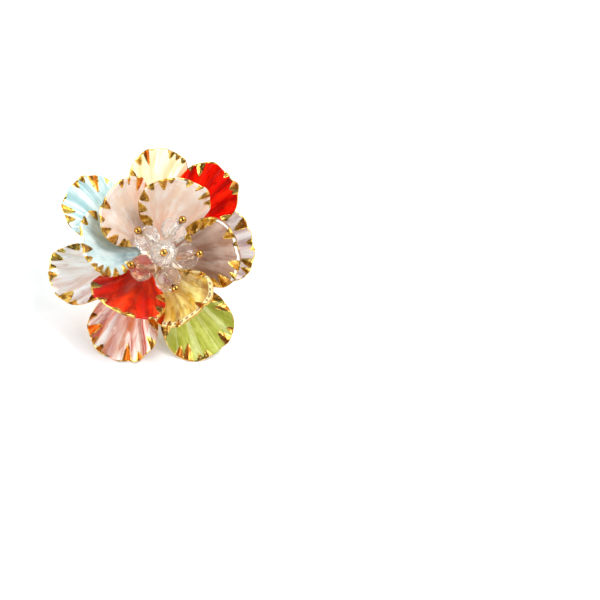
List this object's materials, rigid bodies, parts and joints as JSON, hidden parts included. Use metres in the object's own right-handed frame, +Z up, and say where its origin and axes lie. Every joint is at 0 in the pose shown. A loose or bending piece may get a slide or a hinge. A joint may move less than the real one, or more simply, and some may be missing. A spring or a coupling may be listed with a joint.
{
  "type": "flower stud earring",
  "caption": "Large stud earring: a flower of enamelled, pleated petals in two overlapping tiers round a cluster of faceted beads on ball-end pins, with a straight ear post behind.",
  "frame": {"origin": "middle of the footprint on the floor, under the earring as it lies at rest on the post's tip and its two low petals", "axes": "+Z up from the floor; the flower's face leans towards -Y; +X to the right of someone who looks along +Y at the face"},
  "size_m": [0.042, 0.0358, 0.0285],
  "materials": {
    "enamel_cream": "pearly cream-yellow enamel with gilded rim",
    "enamel_red": "pearly orange-red enamel with gilded rim",
    "enamel_lilac": "pearly greyish lilac enamel with gilded rim",
    "enamel_green": "pearly lime-green enamel with gilded rim",
    "enamel_coral": "pearly coral-striped enamel with gilded rim",
    "enamel_white": "pearly pinkish-white enamel with gilded rim",
    "enamel_blue": "pearly pale aqua enamel with gilded rim",
    "enamel_rose": "pearly peach-pink enamel with gilded rim",
    "enamel_yellow": "pearly golden-yellow enamel with gilded rim",
    "gold": "polished gold plate",
    "crystal": "clear faceted crystal with a faint rainbow coat"
  },
  "bodies": {
    "root": {"dome": "gold", "back_plate_post": "gold", "outer_petal_yellow": "enamel_cream", "outer_petal_red": "enamel_red", "outer_petal_lilac": "enamel_lilac", "outer_petal_green": "enamel_green", "outer_petal_coral": "enamel_coral", "outer_petal_white": "enamel_white", "outer_petal_blue": "enamel_blue", "inner_petal_rose_right": "enamel_rose", "inner_petal_rose_left": "enamel_rose", "inner_petal_blue": "enamel_blue", "inner_petal_red": "enamel_red", "inner_petal_yellow": "enamel_yellow", "inner_petal_lilac": "enamel_lilac", "bead_right": "crystal", "bead_top": "crystal", "bead_upper_left": "crystal", "bead_lower_left": "crystal", "bead_bottom": "crystal", "bead_centre": "crystal", "pin_right": "gold", "pin_top": "gold", "pin_upper_left": "gold", "pin_lower_left": "gold", "pin_bottom": "gold", "pin_centre": "gold"}
  },
  "joints": []
}
